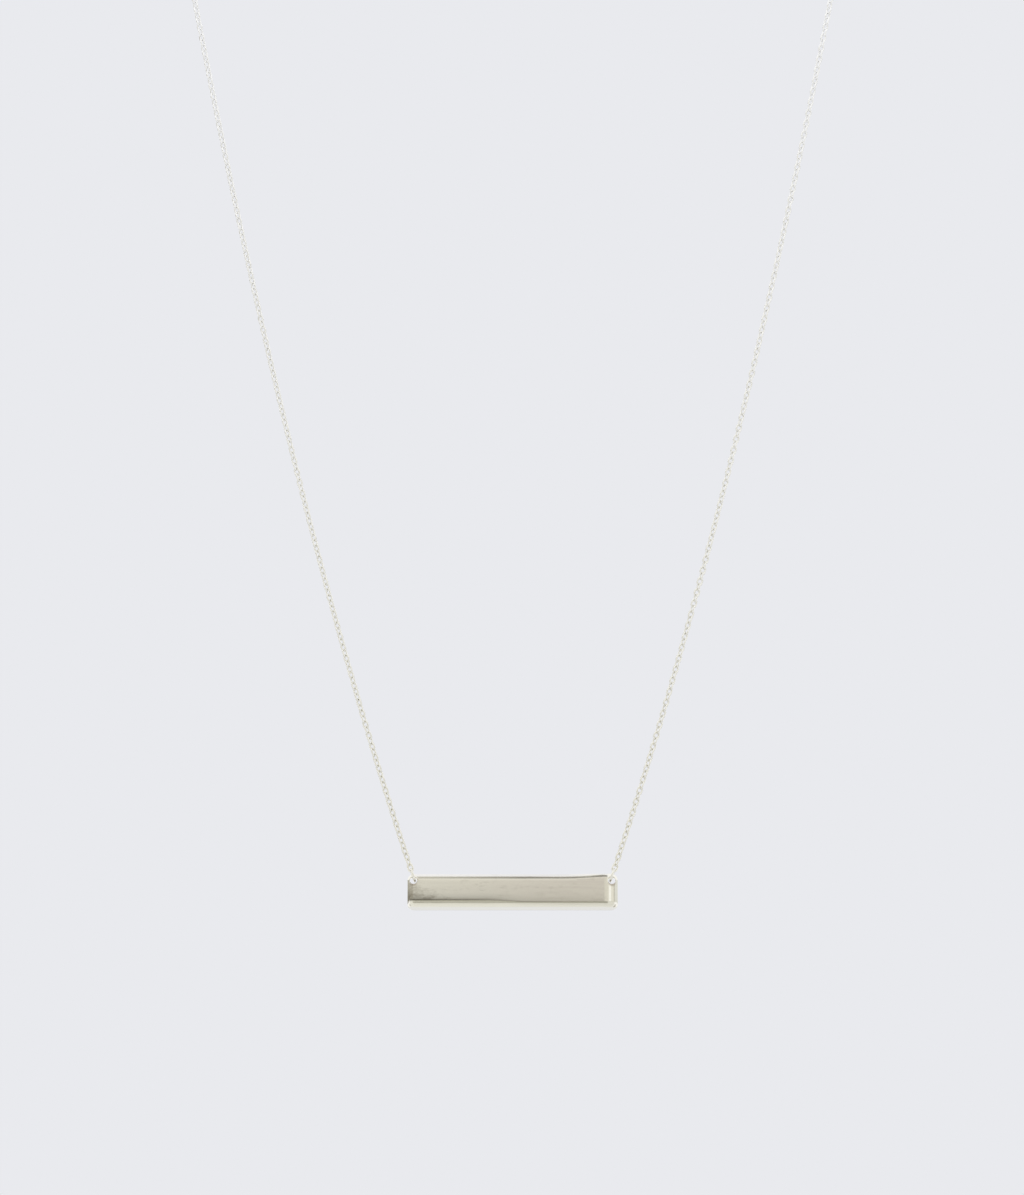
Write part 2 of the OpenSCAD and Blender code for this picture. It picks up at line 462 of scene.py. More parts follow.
def bend_drop(distance, start, full, degrees):
    """Depth lost by a soft bend at a distance from the edge."""
    tilt = math.tan(math.radians(degrees))
    lost = half_square(start - distance) - half_square(full - distance)
    kept = half_square(BEND_FADE[0] - distance) - half_square(BEND_FADE[1] - distance)
    return tilt * (lost / (start - full) - kept / (BEND_FADE[0] - BEND_FADE[1]))


class Plate:
    """The plate's shape in millimetres, about its own middle, with z up and x to the right."""

    def __init__(self, settings, low, high):
        size = (high - low) / MM
        self.half_l = size.x / 2
        self.half_h = size.z / 2
        self.half_t = size.y / 2
        self.corner = settings.corner / MM
        self.nip = settings.nip / MM
        self.rim = settings.rim / MM
        self.hole_r = settings.hole / MM / 2
        self.hole_x = self.half_l - settings.hole_in / MM
        self.hole_z = self.half_h - settings.hole_down / MM
        self.turn_full = settings.turn_full
        self.turn_worn = settings.turn_worn
        self.crown = math.tan(settings.crown) / self.half_h

    def inward(self, x, z):
        """Distance in from the outline, and how far the nearest edge faces up, from -1 to 1."""
        over_x = abs(x) - (self.half_l - self.corner)
        over_z = abs(z) - (self.half_h - self.corner)
        if over_x > 0 and over_z > 0:
            reach = math.hypot(over_x, over_z)
            return self.corner - reach, math.copysign(over_z / reach, z)
        if over_x > over_z:
            return self.corner - over_x, 0.0
        return self.corner - over_z, math.copysign(1, z)

    def turn(self, x, facing):
        """Turn of the edge's rounding, which is short only along the right of the top edge."""
        worn = smooth_step(*TOP_CHANGE, x) * smooth_step(*TOP_FACING, facing)
        return mix(self.turn_full, self.turn_worn, worn)

    def stretch(self, facing):
        """How much wider the rounding is than a round one, along the edge that faces that way."""
        return mix(1.0, TOP_STRETCH, smooth_step(*TOP_FACING, facing))

    def reach(self, turn):
        """Width of an unstretched rounding, seen from the front."""
        return (self.half_t - self.nip) * math.sin(turn) + self.nip

    def edge_depth(self, inward, turn):
        """Half thickness at a distance in from the outline."""
        out = self.reach(turn) - inward
        radius = self.half_t
        if out <= 0:
            return radius
        if out <= radius * math.sin(turn):
            return math.sqrt(radius * radius - out * out)
        past = out - (radius - self.nip) * math.sin(turn)
        return (radius - self.nip) * math.cos(turn) + math.sqrt(max(self.nip**2 - past**2, 0))

    def hole_distance(self, x, z):
        """Distance from the nearer hole's centre, seen from the front."""
        return math.hypot(abs(x) - self.hole_x, z - self.hole_z)

    def thinning(self, x, z):
        """Depth lost to the crown and to the soft bends near the edges."""
        side = smooth_step(*BEND_CHANGE, x)
        lost = self.crown * z * z / 2
        for left, right in ((FAINT_LEFT, FAINT_RIGHT), (BEND_LEFT, BEND_RIGHT)):
            bend = [mix(*ends, side) for ends in zip(left, right)]
            lost += bend_drop(z + self.half_h, *bend)
        for bend in END_BENDS:
            lost += bend_drop(self.half_l - x, *bend)
        return lost + bend_drop(self.half_l + x, *LEFT_END_BEND)

    def depth(self, x, z):
        """Half thickness of the finished plate."""
        inward, facing = self.inward(x, z)
        depth = self.edge_depth(inward / self.stretch(facing), self.turn(x, facing))
        depth *= 1 - self.thinning(x, z) / self.half_t
        into_rim = self.hole_r + self.rim - self.hole_distance(x, z)
        if into_rim > 0:
            depth -= self.rim - math.sqrt(max(self.rim**2 - into_rim**2, 0))
        return depth


def plate_outline(plate):
    """Points round the outline with their outward directions, anticlockwise from the right end."""
    end = plate.half_l - plate.corner
    top = plate.half_h - plate.corner
    quarter = [((plate.half_l, z), (1.0, 0.0)) for z in steps(0, top, HOLE_STEP)[:-1]]
    for i in range(CORNER_STEPS + 1):
        angle = math.pi / 2 * i / CORNER_STEPS
        out = (math.cos(angle), math.sin(angle))
        quarter.append(((end + plate.corner * out[0], top + plate.corner * out[1]), out))
    past_hole = plate.hole_x - 2 * plate.hole_r
    along = steps(end, past_hole, HOLE_STEP)[1:] + steps(past_hole, 0, WIDE_STEP)[1:]
    quarter += [((x, plate.half_h), (0.0, 1.0)) for x in along]
    upper = quarter + [((-x, z), (-out_x, out_z)) for (x, z), (out_x, out_z) in quarter[-2::-1]]
    lower = [((x, -z), (out_x, -out_z)) for (x, z), (out_x, out_z) in upper[-2:0:-1]]
    return upper + lower


def edge_insets(plate, turn):
    """Distances in from the outline of the mesh rows on an edge whose rounding has that turn."""
    reach = plate.reach(turn)
    nip = [plate.nip * (1 - math.sin(mix(math.pi / 2, turn, i / NIP_STEPS))) for i in range(NIP_STEPS)]
    roll = [reach - plate.half_t * math.sin(turn * (1 - i / TURN_STEPS)) for i in range(TURN_STEPS + 1)]
    return nip + roll


def edge_rows(plate):
    """Closed rows of points from the outline in to the end of the rounding."""
    columns = []
    for (x, z), (out_x, out_z) in plate_outline(plate):
        insets = edge_insets(plate, plate.turn(x, out_z))
        wide = plate.stretch(out_z)
        columns.append([(x - inset * wide * out_x, z - inset * wide * out_z) for inset in insets])
    return list(zip(*columns))


def face_rows(plate):
    """Level rows of points on the face, with None where the edge's rounding is."""
    bend_top = -plate.half_h + FAINT_LEFT[0] + BEND_GAP
    bend_side = plate.half_l - END_BENDS[0][0] - BEND_GAP
    heights = steps(-plate.half_h, bend_top, CLOSE_STEP) + steps(bend_top, plate.half_h, TALL_STEP)[1:]
    lengths = (
        steps(-plate.half_l, -bend_side, END_STEP)
        + steps(-bend_side, bend_side, WIDE_STEP)[1:]
        + steps(bend_side, plate.half_l, END_STEP)[1:]
    )

    def on_face(x, z):
        inward, facing = plate.inward(x, z)
        edge = plate.reach(plate.turn(x, facing)) * plate.stretch(facing)
        return inward > edge + EDGE_GAP

    return [[(x, z) if on_face(x, z) else None for x in lengths] for z in heights]


def plate_points(plate):
    """The flat points of the plate's front, and the edges that the mesh has to keep."""
    points = []
    kept = []
    clear = plate.hole_r + plate.rim

    def add_row(row, closed):
        """Adds a row of points, leaving out those too near a hole, and joins neighbours."""
        numbers = []
        for point in row:
            if point is None or plate.hole_distance(*point) < clear + RIM_GAP:
                numbers.append(None)
            else:
                points.append(Vector(point))
                numbers.append(len(points) - 1)
        pairs = list(zip(numbers, numbers[1:] + numbers[:1] if closed else numbers[1:]))
        kept.extend(pair for pair in pairs if None not in pair)

    for row in edge_rows(plate):
        add_row(row, True)
    for side in (-1, 1):
        for i in range(RIM_STEPS + 1):
            radius = clear - plate.rim * math.sin(math.pi / 2 * i / RIM_STEPS)
            first = len(points)
            for k in range(HOLE_SIDES):
                angle = 2 * math.pi * k / HOLE_SIDES
                x = side * plate.hole_x + radius * math.cos(angle)
                points.append(Vector((x, plate.hole_z + radius * math.sin(angle))))
            numbers = list(range(first, first + HOLE_SIDES))
            kept.extend(zip(numbers, numbers[1:] + numbers[:1]))
    for row in face_rows(plate):
        add_row(row, False)
    return points, kept


def plate_mesh(plate, centre):
    """The plate as one closed mesh: a front, its mirrored back, and walls round outline and holes."""
    points, kept = plate_points(plate)
    flat, _, faces, _, _, _ = delaunay_2d_cdt(points, kept, [], 1, 1e-6)
    faces = [
        face
        for face in faces
        if plate.hole_distance(*(sum((flat[i] for i in face), Vector((0, 0))) / len(face)))
        > plate.hole_r * math.cos(math.pi / HOLE_SIDES)
    ]
    mesh = bmesh.new()
    sheets = []
    for side in (-1, 1):
        sheet = {}
        for number in {i for face in faces for i in face}:
            x, z = flat[number]
            place = Vector((x, side * plate.depth(x, z), z)) * MM + centre
            sheet[number] = mesh.verts.new(place)
        sheets.append(sheet)
    for face in faces:
        mesh.faces.new([sheets[0][i] for i in face])
        mesh.faces.new([sheets[1][i] for i in reversed(face)])
    partner = {front: sheets[1][number] for number, front in sheets[0].items()}
    rims = [edge for edge in mesh.edges if edge.is_boundary and edge.verts[0] in partner]
    for edge in rims:
        a, b = edge.verts
        mesh.faces.new([a, b, partner[b], partner[a]])
    bmesh.ops.recalc_face_normals(mesh, faces=mesh.faces)
    data = bpy.data.meshes.new("bar_plate")
    mesh.to_mesh(data)
    mesh.free()
    data.shade_smooth()
    return data


class NECKLACE_OT_plate(bpy.types.Operator):
    """Makes the bar plate with its softened edges and holes, in place of its plain solid"""

    bl_idname = "necklace.plate"
    bl_label = "Make the Plate"

    def execute(self, context):
        low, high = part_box("plate")
        plate = Plate(context.scene.necklace_plate, low, high)
        centre = (low + high) / 2
        piece = new_piece("bar_plate", plate_mesh(plate, centre))
        silver = polished_silver(context.scene.necklace_silver, plate, centre)
        piece.data.materials.append(silver)
        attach(piece, "pendant")
        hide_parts("plate")
        return {"FINISHED"}


# The cable chain


# Spacing of the points along a hanging strand.
STRAND_STEP = 1 * MM
# The stretch round the neck is drawn with this many short straight pieces.
NECK_PIECES = 160
# Links over which the lay drifts once, and how far apart the drifts of two seeds are.
DRIFT_LINKS = 12
SEED_STRIDE = 7.3


def chain_route(settings):
    """Middle line of the right side's chain, from the first link's centre to the last link's."""
    ring = middle("ring_right")
    gain = settings.slope_gain
    flat = settings.slope_low

    def strand(s):
        """Point of the hanging strand, whose slope grows evenly along the chain."""
        slope = flat + gain * s
        x = ring.x + (math.asinh(slope) - math.asinh(flat)) / gain
        z = ring.z + (math.hypot(1, slope) - math.hypot(1, flat)) / gain
        return Vector((x, ring.y, z))

    route = [strand(s) for s in steps(settings.front_start, settings.strand_length, STRAND_STEP)]
    top = route[-1]
    slope = flat + gain * settings.strand_length
    up = Vector((1, 0, slope)).normalized()
    half_link = (settings.link_length - settings.wire) / 2
    nape = middle("back_link_right") - Vector((half_link, 0, 0))
    # The way round the neck is one Bezier curve between the two leads.
    reins = [top, top + settings.lead_up * up, nape + Vector((settings.lead_back, 0, 0)), nape]
    for i in range(1, NECK_PIECES + 1):
        row = reins
        while len(row) > 1:
            row = [a.lerp(b, i / NECK_PIECES) for a, b in zip(row, row[1:])]
        route.append(row[0])
    while (route[-1] - nape).length < half_link:
        route.pop()
    route.append(middle("back_link_right"))
    return route


def carried_sides(route):
    """The chain's direction and one across it at each point, carried along it with no twist."""
    ways = [(b - a).normalized() for a, b in zip(route, route[1:])]
    ways.append(ways[-1])
    sides = [Vector((0, 1, 0)).cross(ways[0]).normalized()]
    for before, after in zip(ways, ways[1:]):
        sides.append(before.rotation_difference(after) @ sides[-1])
    return ways, sides


def nearest_turn(way, side, goal):
    """Smallest turn about the chain that lays side along goal or against it."""
    turn = math.atan2(goal.dot(way.cross(side)), goal.dot(side))
    return (turn + math.pi / 2) % math.pi - math.pi / 2


# Inputs of the chain's tree: name, kind of socket, and the setting that it always takes, if any.
CHAIN_INPUTS = (
    ("Route", "Geometry", None),
    ("Links", "Int", "links"),
    ("Link Length", "Float", "link_length"),
    ("Link Width", "Float", "link_width"),
    ("Wire", "Float", "wire"),
    ("Wire Sides", "Int", "wire_sides"),
    ("Bend Points", "Int", "bend_points"),
    ("First Turn", "Float", None),
    ("Lay", "Float", None),
    ("Settle", "Int", "settle"),
    ("Turn Back", "Float", None),
    ("Turn From", "Int", None),
    ("Wander", "Float", "wander"),
    ("Rock", "Float", "rock"),
    ("Seed", "Int", None),
    ("Material", "Material", None),
)
# Places of a link's points, as Math nodes: a result's name, its operation and what goes in. The
# points run from right to left round the upper bend, then back round the lower one, which is bend 1.
LINK_SUMS = (
    ("bends before", "DIVIDE", "number", "per bend"),
    ("bend", "FLOOR", "bends before"),
    ("place", "MODULO", "number", "per bend"),
    ("last place", "SUBTRACT", "per bend", 1.0),
    ("along", "DIVIDE", "place", "last place"),
    ("half turns", "ADD", "along", "bend"),
    ("angle", "MULTIPLY", "half turns", math.pi),
    ("bend width", "SUBTRACT", "width", "wire"),
    ("radius", "MULTIPLY", "bend width", 0.5),
    ("straight", "SUBTRACT", "length", "width"),
    ("half straight", "MULTIPLY", "straight", 0.5),
    ("up", "MULTIPLY_ADD", "bend", -2.0, 1.0),
    ("cosine", "COSINE", "angle"),
    ("sine", "SINE", "angle"),
    ("x", "MULTIPLY", "cosine", "radius"),
    ("rise", "MULTIPLY", "sine", "radius"),
    ("z", "MULTIPLY_ADD", "up", "half straight", "rise"),
    ("points", "MULTIPLY", "per bend", 2.0),
    ("wire radius", "MULTIPLY", "wire", 0.5),
)


def link_nodes(tree, sizes):
    """One oval link in the XZ plane: two half circles of points, joined by straight wire."""
    sums = {
        "number": add_node(tree, "GeometryNodeInputIndex")[0],
        "per bend": sizes["Bend Points"],
        "length": sizes["Link Length"],
        "width": sizes["Link Width"],
        "wire": sizes["Wire"],
    }
    for name, operation, *terms in LINK_SUMS:
        inputs = {i: sums.get(term, term) for i, term in enumerate(terms)}
        sums[name] = add_node(tree, "ShaderNodeMath", inputs, operation=operation)[0]
    point = add_node(tree, "ShaderNodeCombineXYZ", {"X": sums["x"], "Z": sums["z"]})
    circle = add_node(tree, "GeometryNodeCurvePrimitiveCircle", {"Resolution": sums["points"]})
    oval = add_node(tree, "GeometryNodeSetPosition", {"Geometry": circle["Curve"], "Position": point[0]})
    wire = add_node(
        tree,
        "GeometryNodeCurvePrimitiveCircle",
        {"Resolution": sizes["Wire Sides"], "Radius": sums["wire radius"]},
    )
    tube = add_node(tree, "GeometryNodeCurveToMesh", {"Curve": oval[0], "Profile Curve": wire["Curve"]})
    return add_node(tree, "GeometryNodeSetShadeSmooth", {"Geometry": tube[0]})[0]


def link_turn(tree, number, sizes):
    """Turn of each link about the chain: a quarter more than the last one's, with a drifting lay.

    The lay goes over from the first link's to the strand's, and round the neck to the last link's.
    """
    settled, returned = [
        add_node(
            tree, "ShaderNodeMapRange", {0: number, 1: start, 2: end}, interpolation_type="SMOOTHSTEP"
        )[0]
        for start, end in ((0.0, sizes["Settle"]), (sizes["Turn From"], sizes["Links"]))
    ]
    seed = add_node(tree, "ShaderNodeMath", {0: sizes["Seed"], 1: SEED_STRIDE}, operation="MULTIPLY")
    slow = add_node(
        tree, "ShaderNodeMath", {0: number, 1: 1 / DRIFT_LINKS, 2: seed[0]}, operation="MULTIPLY_ADD"
    )
    drift = add_node(tree, "ShaderNodeTexNoise", {"W": slow[0], "Scale": 1.0}, noise_dimensions="1D")
    swing = add_node(tree, "ShaderNodeMath", {0: drift["Fac"], 1: 0.5}, operation="SUBTRACT")
    strand_lay = add_node(
        tree,
        "ShaderNodeMath",
        {0: swing[0], 1: sizes["Wander"], 2: sizes["Lay"]},
        operation="MULTIPLY_ADD",
    )
    lay = add_node(tree, "ShaderNodeMix", {0: settled, 2: sizes["First Turn"], 3: strand_lay[0]})
    laid = add_node(tree, "ShaderNodeMix", {0: returned, 2: lay[0], 3: sizes["Turn Back"]})
    return add_node(
        tree, "ShaderNodeMath", {0: number, 1: math.pi / 2, 2: laid[0]}, operation="MULTIPLY_ADD"
    )[0]


def chain_tree():
    """Geometry Nodes that thread links along a route, each one a quarter turn from the last."""
    tree = bpy.data.node_groups.new("cable_chain", "GeometryNodeTree")
    for name, kind, _ in CHAIN_INPUTS:
        tree.interface.new_socket(name, in_out="INPUT", socket_type=f"NodeSocket{kind}")
    tree.interface.new_socket("Chain", in_out="OUTPUT", socket_type="NodeSocketGeometry")
    sizes = add_node(tree, "NodeGroupInput")
    number = add_node(tree, "GeometryNodeInputIndex")[0]
    least = add_node(tree, "ShaderNodeMath", {0: sizes["Rock"], 1: -1.0}, operation="MULTIPLY")
    rock = add_node(
        tree,
        "FunctionNodeRandomValue",
        {2: least[0], 3: sizes["Rock"], "ID": number, "Seed": sizes["Seed"]},
        data_type="FLOAT",
    )
    # Each link lies along the route, turned about its own length and then rocked.
    side = add_node(tree, "GeometryNodeInputNamedAttribute", {"Name": "side"}, data_type="FLOAT_VECTOR")
    pose = add_node(
        tree,
        "FunctionNodeAxesToRotation",
        {0: add_node(tree, "GeometryNodeInputTangent")[0], 1: side[0]},
        primary_axis="Z",
        secondary_axis="X",
    )
    for axis, angle in (((0, 0, 1), link_turn(tree, number, sizes)), ((0, 1, 0), rock[1])):
        turn = add_node(tree, "FunctionNodeAxisAngleToRotation", {"Axis": axis, "Angle": angle})
        pose = add_node(
            tree, "FunctionNodeRotateRotation", {0: pose[0], 1: turn[0]}, rotation_space="LOCAL"
        )
    # The first and the last link are pieces of their own, so the chain only leaves room for them.
    curve = add_node(tree, "GeometryNodeMeshToCurve", {"Mesh": sizes["Route"]})
    even = add_node(tree, "GeometryNodeResampleCurve", {"Curve": curve[0], "Count": sizes["Links"]})
    ends = add_node(tree, "GeometryNodeCurveEndpointSelection", {0: 1, 1: 1})
    between = add_node(tree, "FunctionNodeBooleanMath", {0: ends[0]}, operation="NOT")
    threaded = add_node(
        tree,
        "GeometryNodeInstanceOnPoints",
        {
            "Points": even[0],
            "Selection": between[0],
            "Instance": link_nodes(tree, sizes),
            "Rotation": pose[0],
        },
    )
    real = add_node(tree, "GeometryNodeRealizeInstances", {"Geometry": threaded[0]})
    dressed = add_node(
        tree, "GeometryNodeSetMaterial", {"Geometry": real[0], "Material": sizes["Material"]}
    )
    add_node(tree, "NodeGroupOutput", {"Chain": dressed[0]})
    return tree


def thread_chain(name, route, across, tree, values):
    """Runs the chain's tree along a route, and gives back the links as one plain mesh object."""
    data = bpy.data.meshes.new(name)
    data.from_pydata(route, [(i, i + 1) for i in range(len(route) - 1)], [])
    side = data.attributes.new("side", "FLOAT_VECTOR", "POINT")
    side.data.foreach_set("vector", [value for direction in across for value in direction])
    piece = new_piece(name, data)
    links = piece.modifiers.new("links", "NODES")
    links.node_group = tree
    for item in tree.interface.items_tree:
        if item.in_out == "INPUT" and item.name in values:
            links[item.identifier] = values[item.name]
    graph = bpy.context.evaluated_depsgraph_get()
    mesh = bpy.data.meshes.new_from_object(piece.evaluated_get(graph))
    piece.modifiers.clear()
    piece.data = mesh
    bpy.data.meshes.remove(data)
    mesh.name = name
    if not mesh.polygons:
        raise RuntimeError(f"{name} came out empty")
    return piece


class NECKLACE_OT_chain(bpy.types.Operator):
    """Threads the links of both sides of the chain, in place of their plain tubes"""

    bl_idname = "necklace.chain"
    bl_label = "Thread the Chain"

    def execute(self, context):
        settings = context.scene.necklace_chain
        right = chain_route(settings)
        left = [Vector((-point.x, point.y, point.z)) for point in right]
        length = sum((b - a).length for a, b in zip(right, right[1:]))
        on_strand = (settings.strand_length - settings.front_start) / length
        both = {name: getattr(settings, key) for name, _, key in CHAIN_INPUTS if key}
        both["Turn From"] = int(settings.links * on_strand)
        both["Material"] = drawn_silver(context.scene.necklace_silver)
        tree = chain_tree()
        # The last link stands upright on the right, in the end ring, and lies level on the left.
        sides = (
            ("right", right, 1, settings.lay_right, Vector((0, 0, 1)), settings.seed),
            ("left", left, -1, settings.lay_left, Vector((0, 1, 0)), settings.seed + 1),
        )
        for side, route, way_round, lay, last_link, seed in sides:
            ways, across = carried_sides(route)
            values = {
                **both,
                "First Turn": way_round * settings.first_turn,
                "Lay": way_round * lay,
                "Turn Back": nearest_turn(ways[-1], across[-1], last_link),
                "Seed": seed,
            }
            piece = thread_chain(f"cable_chain_{side}", route, across, tree, values)
            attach(piece, "necklace")
            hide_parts(f"chain_{side}", f"neck_chain_{side}")
        return {"FINISHED"}


# Rings, end links and clasp, whose solids already have their right shape


def finish_nodes(names, material):
    """Gives CAD nodes a finish of their own."""
    for name in names:
        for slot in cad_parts[name].material_slots:
            slot.material = material


class NECKLACE_OT_rings(bpy.types.Operator):
    """Finishes the jump rings and the end links as drawn silver wire"""

    bl_idname = "necklace.rings"
    bl_label = "Finish Rings and End Links"

    def execute(self, context):
        names = [
            f"{part}_{side}"
            for part in ("ring", "front_link", "back_link")
            for side in ("left", "right")
        ]
        finish_nodes(names, drawn_silver(context.scene.necklace_silver))
        return {"FINISHED"}


class NECKLACE_OT_clasp(bpy.types.Operator):
    """Finishes the clasp and its end ring as cast silver"""

    bl_idname = "necklace.clasp"
    bl_label = "Finish the Clasp"

    def execute(self, context):
        finish_nodes(["clasp", "end_ring"], cast_silver(context.scene.necklace_silver))
        return {"FINISHED"}


# The studio


# Boards that glow with their own colours, as the light that the silver reflects, seen from the plate:
# name, azimuth and elevation ranges in degrees, then one colour, or those of the lower and upper
# edges, or those two first on the left and then on the right. Azimuth 0 is straight in front and
# grows to the right. The plate's flat front reflects the azimuths in FACE. Each board stands a little
# nearer than the last, and the room is behind them all.
FACE = (-4, 5)
# Colours that several boards share.
OVERHEAD = ("#FAFAFF", "#FAFAFF", "#ECEDF5", "#ECEDF5")
FRONT_SKIRT = ("#B5B3AB", "#DDDBD3")
REAR_SKIRT = ("#8B8982", "#D9D7CE")
BOARDS = (
    ("room", (-180, 180), (-85, 90), ("#FFFFFF",)),
    ("top_card", (-6, 7), (58, 72), OVERHEAD),
    ("cap", (-180, 180), (72, 90), OVERHEAD),
    ("rear_card", (174, 187), (-12, 72), OVERHEAD),
    ("under_card", (-40, 30), (-45, 6.5), ("#EEEFED", "#E9E8DF", "#ECEDEB", "#DFDED6")),
    ("card_top", FACE, (15, 22), ("#E3E1D7", "#EDEBE2", "#D5CFC9", "#E8E6DF")),
    ("card", FACE, (10.4, 15), ("#C5C4BD", "#E3E1D7", "#B0AAA2", "#CDC6C1")),
    ("card_foot", FACE, (9, 10.4), ("#77746A", "#C5C4BD", "#ADA8A0", "#B0AAA2")),
    ("dark_rail", FACE, (6.5, 9), ("#625F55", "#5C594E", "#96938A", "#96938A")),
    ("end_rail", (0.95, 5), (6.5, 9), ("#B4B2A7",)),
    ("grey_rail", FACE, (4, 6.5), ("#D6D4C7", "#C0BEB0", "#A6A497", "#9C9A8D")),
    ("low_rail", FACE, (1, 4), ("#B3B1A5", "#B0AEA2", "#A6A498", "#A2A094")),
    ("grey_batten", (-4, -0.25), (22, 52), ("#CFCDC4", "#CFCDC4", "#84817C", "#84817C")),
    ("dark_batten", (-0.25, 0.75), (22, 58), ("#53514D", "#53514D", "#A5A29C", "#A5A29C")),
    ("end_batten", (0.75, 5), (22, 46), ("#8E8B86",)),
    ("left_card", (-40, -4), (9, 17), ("#ADA99E", "#C2BEB3")),
    ("left_rail", (-40, -4), (6.5, 9), ("#5C594E",)),
    ("left_flag", (-150, -40), (8.5, 16), ("#807D73", "#C9C6BC")),
    ("right_rim", (1.5, 5), (9, 17), ("#DBD8CD",)),
    ("right_card", (5, 9), (9, 17), ("#E4E1D7",)),
    ("right_lamp", (9, 16), (9, 17), ("#FFFFFB",)),
    ("right_veil", (16, 24), (9, 17), ("#E7E5DB",)),
    ("right_shade", (24, 38), (9, 17), ("#CBC9BF",)),
    ("right_batten", (38, 150), (9, 17), ("#DADBD3", "#E9E9E6")),
    ("right_rail", (5, 45), (6.5, 9), ("#D8D6CC",)),
    ("left_skirt", (-56, -34), (-28, -4), FRONT_SKIRT),
    ("right_skirt", (34, 56), (-28, -4), FRONT_SKIRT),
    ("rear_left_skirt", (-146, -124), (-28, -4), REAR_SKIRT),
    ("rear_right_skirt", (124, 146), (-28, -4), REAR_SKIRT),
    ("rear_skirt", (169, 191), (-28, -4), REAR_SKIRT),
)
# Half width of the part of a board that the flat face reflects.
SEEN_HALF = 41 * MM
# Distance from one board to the next, and the largest step between a board's points in degrees.
BOARD_GAP = 5 * MM
BOARD_STEP = 1.5
# The floor is a circle with this many sides.
FLOOR_SIDES = 96


def board_mesh(name, centre, radius, azimuths, elevations):
    """A curved board on a sphere about the plate's middle."""
    across = steps(*map(math.radians, azimuths), math.radians(BOARD_STEP))
    upward = steps(*map(math.radians, elevations), math.radians(BOARD_STEP))
    points = [
        centre
        + radius * Vector((math.sin(a) * math.cos(e), -math.cos(a) * math.cos(e), math.sin(e)))
        for e in upward
        for a in across
    ]
    row = len(across)
    faces = [
        (k * row + i, k * row + i + 1, (k + 1) * row + i + 1, (k + 1) * row + i)
        for k in range(len(upward) - 1)
        for i in range(row - 1)
    ]
    mesh = bpy.data.meshes.new(name)
    mesh.from_pydata(points, [], faces)
    return mesh


def board_glow(name, low, high, corners):
    """Board that glows evenly with its own colour, which changes from its foot to its top and from left
    to right.
    """
    material, tree, place = new_material(name)
    where = add_node(tree, "ShaderNodeSeparateXYZ", {0: place})
    rise = add_node(tree, "ShaderNodeMapRange", {0: where["Z"], 1: low, 2: high})
    across = add_node(tree, "ShaderNodeMapRange", {0: where["X"], 1: -SEEN_HALF, 2: SEEN_HALF})
    colours = [(*linear(corner), 1) for corner in corners]
    left, right = [
        add_node(tree, "ShaderNodeMix", {0: rise[0], 6: lower, 7: upper}, data_type="RGBA")[2]
        for lower, upper in (colours[:2], colours[2:])
    ]
    tone = add_node(tree, "ShaderNodeMix", {0: across[0], 6: left, 7: right}, data_type="RGBA")
    glow = add_node(tree, "ShaderNodeEmission", {"Color": tone[2]})
    add_node(tree, "ShaderNodeOutputMaterial", {"Surface": glow[0]})
    return material


def pale_floor(colour):
    """Matt painted floor: plain and pale, with a roller's faint unevenness."""
    material, tree, place = new_material("matt_floor_paint")
    # Spots of 40 mm, because a roller's real ones are too fine to show.
    roller = pattern(tree, place, (40, 40, 40))
    rough = add_node(tree, "ShaderNodeMapRange", {0: roller, **PATTERN_SPAN, 3: 0.85, 4: 0.95})
    shader = add_node(
        tree,
        "ShaderNodeBsdfPrincipled",
        {"Base Color": (*colour, 1), "Roughness": rough[0], "Specular IOR Level": 0.0},
    )
    add_node(tree, "ShaderNodeOutputMaterial", {"Surface": shader["BSDF"]})
    return material


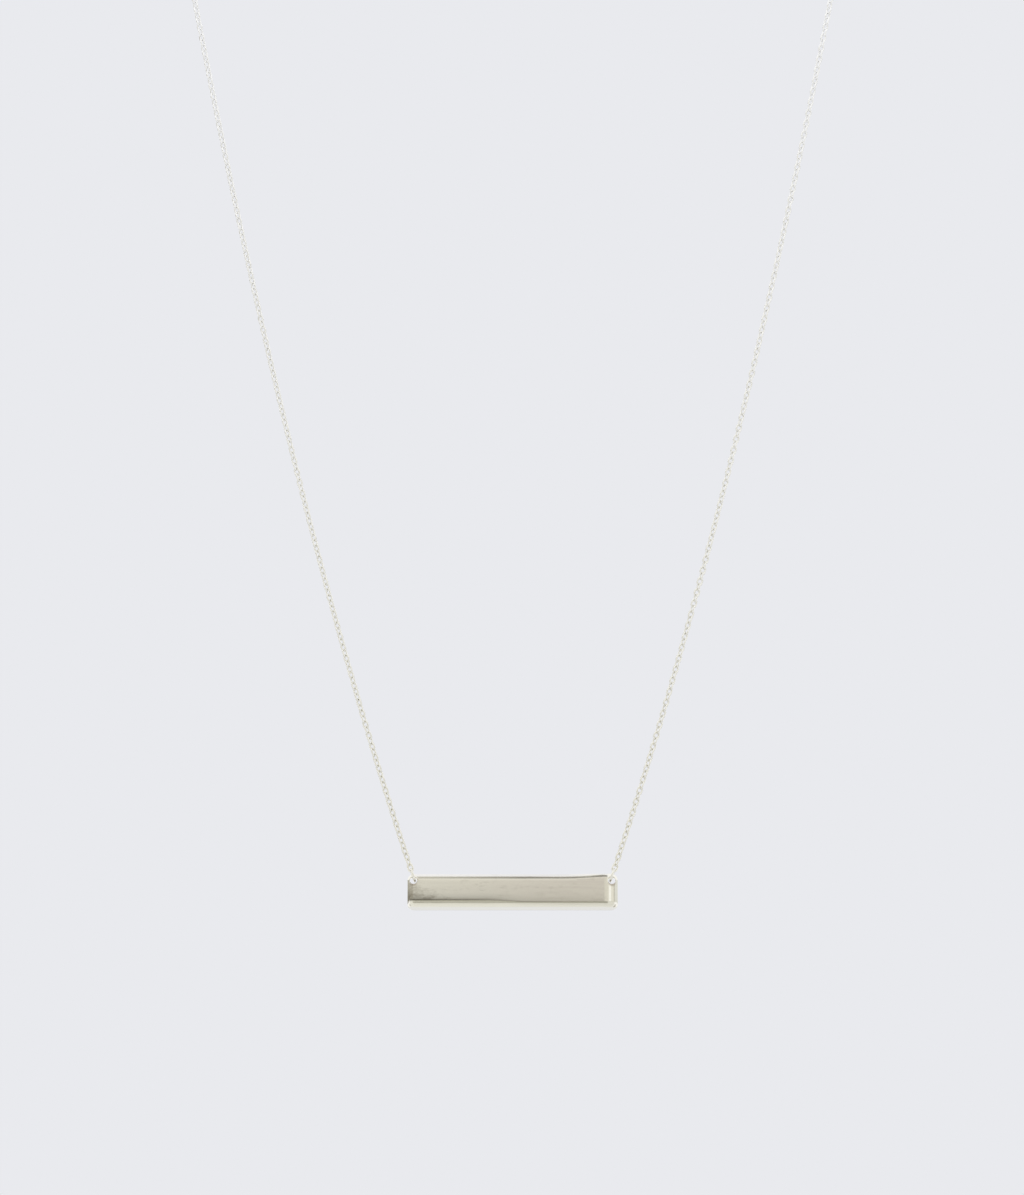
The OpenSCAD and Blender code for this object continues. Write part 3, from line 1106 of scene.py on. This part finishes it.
class NECKLACE_OT_studio(bpy.types.Operator):
    """Sets up the floor, the soft light, the reflection boards and the camera"""

    bl_idname = "necklace.studio"
    bl_label = "Set up the Studio"

    def execute(self, context):
        settings = context.scene.necklace_studio
        self.light_room(context, settings)
        self.lay_floor(settings)
        self.stand_boards(settings)
        self.place_camera(context, settings)
        return {"FINISHED"}

    def light_room(self, context, settings):
        """An even pale room and one softbox overhead."""
        context.scene.view_settings.view_transform = "Standard"
        world = bpy.data.worlds.new("pale_room")
        world.use_nodes = True
        tree = world.node_tree
        tree.nodes.clear()
        glow = add_node(tree, "ShaderNodeBackground", {"Color": (*settings.backdrop, 1)})
        add_node(tree, "ShaderNodeOutputWorld", {"Surface": glow[0]})
        context.scene.world = world
        lamp = bpy.data.lights.new("softbox", "AREA")
        lamp.size = settings.lamp_size
        lamp.energy = settings.lamp_power
        softbox = new_piece("softbox", lamp)
        softbox.location = (0, 0, settings.lamp_height)

    def lay_floor(self, settings):
        """A plain round floor far below the necklace."""
        mesh = bmesh.new()
        bmesh.ops.create_circle(mesh, cap_ends=True, segments=FLOOR_SIDES, radius=settings.floor_radius)
        bmesh.ops.translate(mesh, verts=mesh.verts, vec=(0, 0, -settings.floor_drop))
        data = bpy.data.meshes.new("pale_floor")
        mesh.to_mesh(data)
        mesh.free()
        floor = new_piece("pale_floor", data)
        floor.data.materials.append(pale_floor(settings.floor))

    def stand_boards(self, settings):
        """Boards that only reflections see, so that they neither show nor shade anything."""
        centre = middle("plate")
        for number, (name, azimuths, elevations, colours) in enumerate(BOARDS):
            radius = settings.board_radius - number * BOARD_GAP
            mesh = board_mesh(name, centre, radius, azimuths, elevations)
            board = new_piece(name, mesh)
            low, high = [
                centre.z + radius * math.sin(math.radians(elevation)) for elevation in elevations
            ]
            corners = colours * (4 // len(colours))
            # The board's colour is light that it gives off, seen only in reflections.
            mesh.materials.append(board_glow(f"{name}_paint", low, high, corners))
            board.visible_camera = False
            board.visible_diffuse = False
            board.visible_shadow = False

    def place_camera(self, context, settings):
        """The camera looks up at the strands from below the plate, as in the photograph."""
        up = settings.camera_elevation
        plate = middle("plate")
        aim = plate + Vector((settings.aim_aside, 0, settings.aim_above_plate))
        view = Vector((0, math.cos(up), -math.sin(up)))
        data = bpy.data.cameras.new("camera")
        data.sensor_width = 36
        data.lens = settings.lens
        data.clip_start = 50 * MM
        camera = new_piece("camera", data)
        camera.location = aim - settings.camera_distance * view
        camera.rotation_euler = (math.pi / 2 - up, 0, 0)
        context.scene.camera = camera


class NECKLACE_PT_panel(bpy.types.Panel):
    """Lists the necklace's sizes, colours and steps"""

    bl_idname = "NECKLACE_PT_panel"
    bl_label = "Plate Necklace"
    bl_space_type = "VIEW_3D"
    bl_region_type = "UI"
    bl_category = "Necklace"

    def draw(self, context):
        layout = self.layout
        for operator in OPERATORS:
            layout.operator(operator.bl_idname)
        for name, group in GROUPS.items():
            box = layout.box()
            box.label(text=group.__doc__)
            for key in group.__annotations__:
                box.prop(getattr(context.scene, name), key)


GROUPS = {
    "necklace_chain": ChainSettings,
    "necklace_plate": PlateSettings,
    "necklace_silver": SilverSettings,
    "necklace_studio": StudioSettings,
}
OPERATORS = (
    NECKLACE_OT_studio,
    NECKLACE_OT_plate,
    NECKLACE_OT_chain,
    NECKLACE_OT_rings,
    NECKLACE_OT_clasp,
)
CLASSES = (*GROUPS.values(), *OPERATORS, NECKLACE_PT_panel)


def register():
    for kind in CLASSES:
        bpy.utils.register_class(kind)
    for name, group in GROUPS.items():
        setattr(bpy.types.Scene, name, PointerProperty(type=group))


def unregister():
    for name in GROUPS:
        delattr(bpy.types.Scene, name)
    for kind in reversed(CLASSES):
        bpy.utils.unregister_class(kind)


def main():
    register()
    bpy.ops.necklace.studio()
    bpy.ops.necklace.plate()
    bpy.ops.necklace.chain()
    bpy.ops.necklace.rings()
    bpy.ops.necklace.clasp()
    bpy.context.view_layer.update()


if __name__ == "__main__":
    main()
